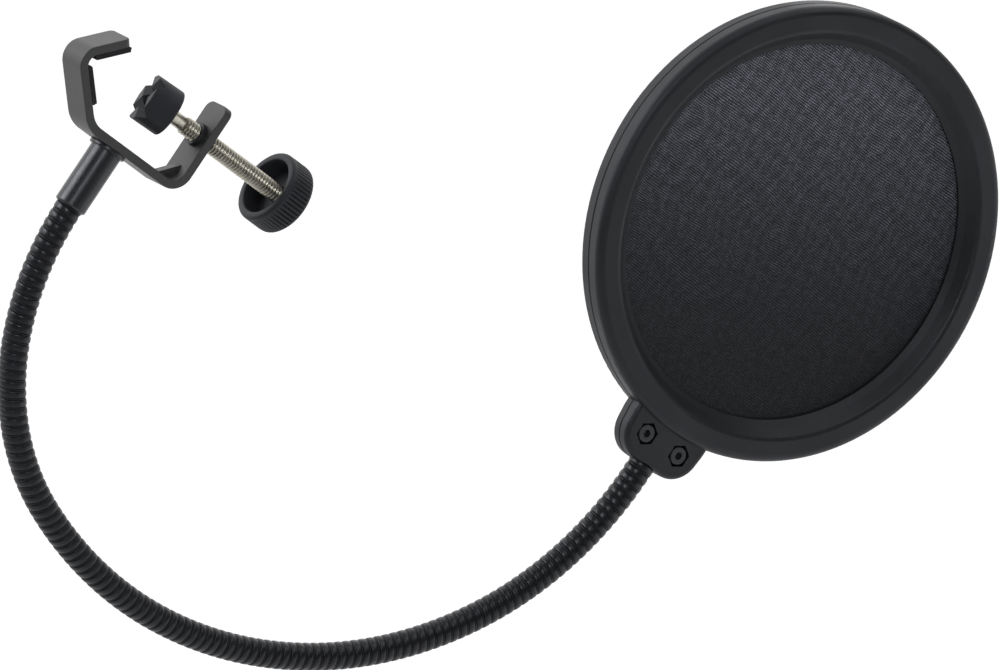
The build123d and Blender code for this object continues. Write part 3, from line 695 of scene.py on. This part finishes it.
def screw():
    """Threaded rod from the bush to the knob, with its turned tip."""
    low, high = box_along("clamp_screw", CLAMP)
    turns = round((high.x - THREAD_START) / THREAD_PITCH)
    distance, angle, radius, crown, faces = helical_grid(
        THREAD_PROFILE, THREAD_PITCH, THREAD_COLUMNS, THREAD_START - THREAD_PITCH, turns + 1
    )
    points = around_screw(distance, angle, radius)
    rod = new_piece("screw_thread", points, faces, LOOKS["screw_steel"], THREAD_SHARP)
    store(rod, "root", 1 - crown)
    trim(rod, SCREW_START + SCREW_AXIS * THREAD_START, -SCREW_AXIS)
    trim(rod, SCREW_START + SCREW_AXIS * high.x, SCREW_AXIS)
    finish_mesh(rod, THREAD_SHARP)
    groove = Vector(JOINTS["jaw_swivel"]["pos_m"]).dot(SCREW_AXIS)
    profile = [
        (low.x, 0),
        (low.x, TIP_RADIUS - TIP_CHAMFER),
        (low.x + TIP_CHAMFER, TIP_RADIUS),
        (groove - CLIP_GROOVE_HALF, TIP_RADIUS),
        (groove - CLIP_GROOVE_HALF, CLIP_GROOVE_RADIUS),
        (groove + CLIP_GROOVE_HALF, CLIP_GROOVE_RADIUS),
        (groove + CLIP_GROOVE_HALF, TIP_RADIUS),
        (THREAD_START - TIP_TAPER, TIP_RADIUS),
        (THREAD_START + TIP_OVERLAP, TIP_RADIUS - TIP_TAPER),
        (THREAD_START + TIP_OVERLAP, 0),
    ]
    tip = lathe("screw_tip", profile, TIP_COLUMNS, LOOKS["screw_steel"], around_screw, TIP_SHARP)
    for piece in (rod, tip):
        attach(piece, "screw")
    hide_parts("clamp_screw")


def knob():
    """Ribbed hand knob with a rounded rim and a hollow front."""
    low, high = box_along("knob", CLAMP)
    rim = low.x
    back = high.x
    floor_at = back - KNOB_WALL
    ribs_from = rim + 1.6 * MM
    ribs_to = back - 1.9 * MM
    hollow = [
        (floor_at, KNOB_HOLE),
        (floor_at, KNOB_CUP - 0.8 * MM),
        (floor_at - 0.25 * MM, KNOB_CUP - 0.25 * MM),
        (floor_at - 0.8 * MM, KNOB_CUP),
        (rim + 0.5 * MM, KNOB_CUP),
        (rim + 0.15 * MM, KNOB_CUP + 0.15 * MM),
        (rim, KNOB_CUP + 0.5 * MM),
    ]
    front = [
        (rim, KNOB_RADIUS - 1.1 * MM),
        (rim + 0.12 * MM, KNOB_RADIUS - 0.65 * MM),
        (rim + 0.45 * MM, KNOB_RADIUS - 0.25 * MM),
        (rim + 0.9 * MM, KNOB_RADIUS - 0.05 * MM),
        (rim + 1.35 * MM, KNOB_RADIUS),
    ]
    # the third number is the share of the ribs' depth there
    grip = [
        (ribs_from, KNOB_RADIUS, 0.0),
        (ribs_from + 0.35 * MM, KNOB_RADIUS, 1.0),
        (ribs_from + 2.5 * MM, KNOB_RADIUS, 1.0),
        (ribs_to - 1.0 * MM, KNOB_RADIUS, 1.0),
        (ribs_to, KNOB_RADIUS - 0.1 * MM, 0.9),
        (ribs_to + 0.55 * MM, KNOB_RADIUS - 0.32 * MM, 0.7),
        (ribs_to + 1.0 * MM, KNOB_RADIUS - 0.7 * MM, 0.35),
    ]
    rear = [
        (ribs_to + 1.4 * MM, KNOB_RADIUS - 1.2 * MM),
        (ribs_to + 1.7 * MM, KNOB_RADIUS - 1.8 * MM),
        (back, KNOB_RADIUS - 2.6 * MM),
        (back, KNOB_DISH),
        (back - 0.15 * MM, KNOB_DISH - 0.25 * MM),
        (back - 0.45 * MM, KNOB_DISH - 0.4 * MM),
        (back - 0.6 * MM, KNOB_DISH - 0.7 * MM),
        (back - 0.6 * MM, 0),
        (floor_at + KNOB_SKIN, 0),
        (floor_at + KNOB_SKIN, KNOB_HOLE),
    ]
    profile = hollow + front + [(distance, radius) for distance, radius, _ in grip] + rear
    shares = [0.0] * len(hollow + front) + [share for _, _, share in grip] + [0.0] * len(rear)
    columns = KNOB_RIBS * RIB_COLUMNS
    strength = np.repeat(shares, columns)

    def grooves(angle):
        place = angle * KNOB_RIBS / (2 * math.pi) % 1.0
        aside = np.minimum(place, 1 - place)
        depth = np.clip(1 - aside / RIB_GAP, 0, 1)
        depth = depth * depth * (3 - 2 * depth)
        return -RIB_DEPTH * depth * strength

    piece = lathe(
        "knob_body", profile, columns, LOOKS["knob_plastic"], around_screw, KNOB_SHARP, grooves
    )
    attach(piece, "screw")
    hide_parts("knob")


def cloth_layer(name, node):
    """One stretched layer of cloth, held in the rim."""
    low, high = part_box(node)
    depth = (low.y + high.y) / 2
    rows = [(0.0, 0.0)]
    faces = []
    for ring in range(1, CLOTH_RINGS + 1):
        radius = CLOTH_RADIUS * ring / CLOTH_RINGS
        for column in range(CLOTH_COLUMNS):
            angle = 2 * math.pi * column / CLOTH_COLUMNS
            rows.append((radius * math.cos(angle), radius * math.sin(angle)))
    for column in range(CLOTH_COLUMNS):
        beside = (column + 1) % CLOTH_COLUMNS
        faces.append((0, 1 + column, 1 + beside))
        for ring in range(CLOTH_RINGS - 1):
            inner = 1 + ring * CLOTH_COLUMNS
            outer = inner + CLOTH_COLUMNS
            faces.append((inner + column, outer + column, outer + beside, inner + beside))
    points = [DISC_CENTRE + DISC @ Vector((across, depth, up)) for across, up in rows]
    piece = new_piece(name, points, faces, LOOKS["mesh_cloth"], CLOTH_SHARP)
    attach(piece, "head")
    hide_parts(node)


# ======================================================================== stage

def floor():
    """Wide pale floor, well below the object, which glows as painted light: dimmer near, brighter far."""
    low, high = CAD_BOX
    centre = (low + high) / 2
    height = low.z - FLOOR_DROP
    mesh = bpy.data.meshes.new("floor")
    corners = [
        (centre.x + side * FLOOR_REACH, centre.y + end * FLOOR_REACH, height)
        for side, end in ((-1, -1), (1, -1), (1, 1), (-1, 1))
    ]
    mesh.from_pydata(corners, [], [(0, 1, 2, 3)])
    plane = bpy.data.objects.new("floor", mesh)
    bpy.context.scene.collection.objects.link(plane)
    pale = Finish("pale_floor", Roughness=0.9, Specular_IOR_Level=0.0)
    pale.set("Base Color", (FLOOR_SHADE, FLOOR_SHADE, FLOOR_SHADE, 1.0))
    pale.set("Emission Color", (1.0, 1.0, 1.0, 1.0))
    # painted light: the floor glows, dim at the near side and bright at the far side
    glow = pale.stretch(pale.along(FLOOR_SIDE, FLOOR_FADE), *FLOOR_GLOW, -1.0, 1.0)
    pale.set("Emission Strength", glow)
    mesh.materials.append(pale.material)


def soft_light(name, direction, distance, size, power):
    """A soft box that faces the object's middle."""
    low, high = CAD_BOX
    centre = (low + high) / 2
    lamp = bpy.data.lights.new(name, "AREA")
    lamp.shape = "RECTANGLE"
    lamp.size, lamp.size_y = size
    lamp.energy = power
    holder = bpy.data.objects.new(name, lamp)
    bpy.context.scene.collection.objects.link(holder)
    away = Vector(direction).normalized()
    holder.location = centre + away * distance
    holder.rotation_mode = "QUATERNION"
    holder.rotation_quaternion = away.to_track_quat("Z", "Y")
    holder.visible_camera = False


def sky():
    """Surroundings that are bright behind and below the object and dark in front of it."""
    world = bpy.data.worlds.new("studio")
    bpy.context.scene.world = world
    world.use_nodes = True
    tree = world.node_tree
    backdrop = tree.nodes["Background"]
    where = tree.nodes.new("ShaderNodeTexCoord")
    facing = tree.nodes.new("ShaderNodeVectorMath")
    facing.operation = "DOT_PRODUCT"
    facing.inputs[1].default_value = Vector(BACKDROP_SIDE).normalized()
    tree.links.new(where.outputs["Generated"], facing.inputs[0])
    shade = tree.nodes.new("ShaderNodeMapRange")
    shade.interpolation_type = "SMOOTHSTEP"
    for socket, value in zip(("From Min", "From Max", "To Min", "To Max"), BACKDROP_RAMP):
        shade.inputs[socket].default_value = value
    tree.links.new(facing.outputs["Value"], shade.inputs["Value"])
    tree.links.new(shade.outputs["Result"], backdrop.inputs["Strength"])
    backdrop.inputs["Color"].default_value = (1, 1, 1, 1)


def camera():
    """Long lens at the chosen azimuth and elevation."""
    azimuth = math.radians(CAMERA_AZIMUTH)
    elevation = math.radians(CAMERA_ELEVATION)
    right = Vector((math.cos(azimuth), math.sin(azimuth), 0))
    back = Vector((
        math.sin(azimuth) * math.cos(elevation),
        -math.cos(azimuth) * math.cos(elevation),
        math.sin(elevation),
    ))
    up = back.cross(right)
    lens = bpy.data.cameras.new("camera")
    lens.lens = CAMERA_LENS
    lens.sensor_width = CAMERA_SENSOR
    lens.clip_start = 0.1
    lens.clip_end = 100.0
    holder = bpy.data.objects.new("camera", lens)
    bpy.context.scene.collection.objects.link(holder)
    distance = FRAME_WIDTH * CAMERA_LENS / CAMERA_SENSOR
    turned = Matrix((right, up, back)).transposed().to_4x4()
    holder.matrix_world = Matrix.Translation(AIM + back * distance) @ turned
    bpy.context.scene.camera = holder


dress_nodes()
neck_skin()
screw()
knob()
cloth_layer("cloth_front", "front_mesh")
cloth_layer("cloth_back", "back_mesh")
floor()
sky()
for light in LIGHTS:
    soft_light(*light)
camera()
bpy.context.scene.view_settings.view_transform = "Standard"
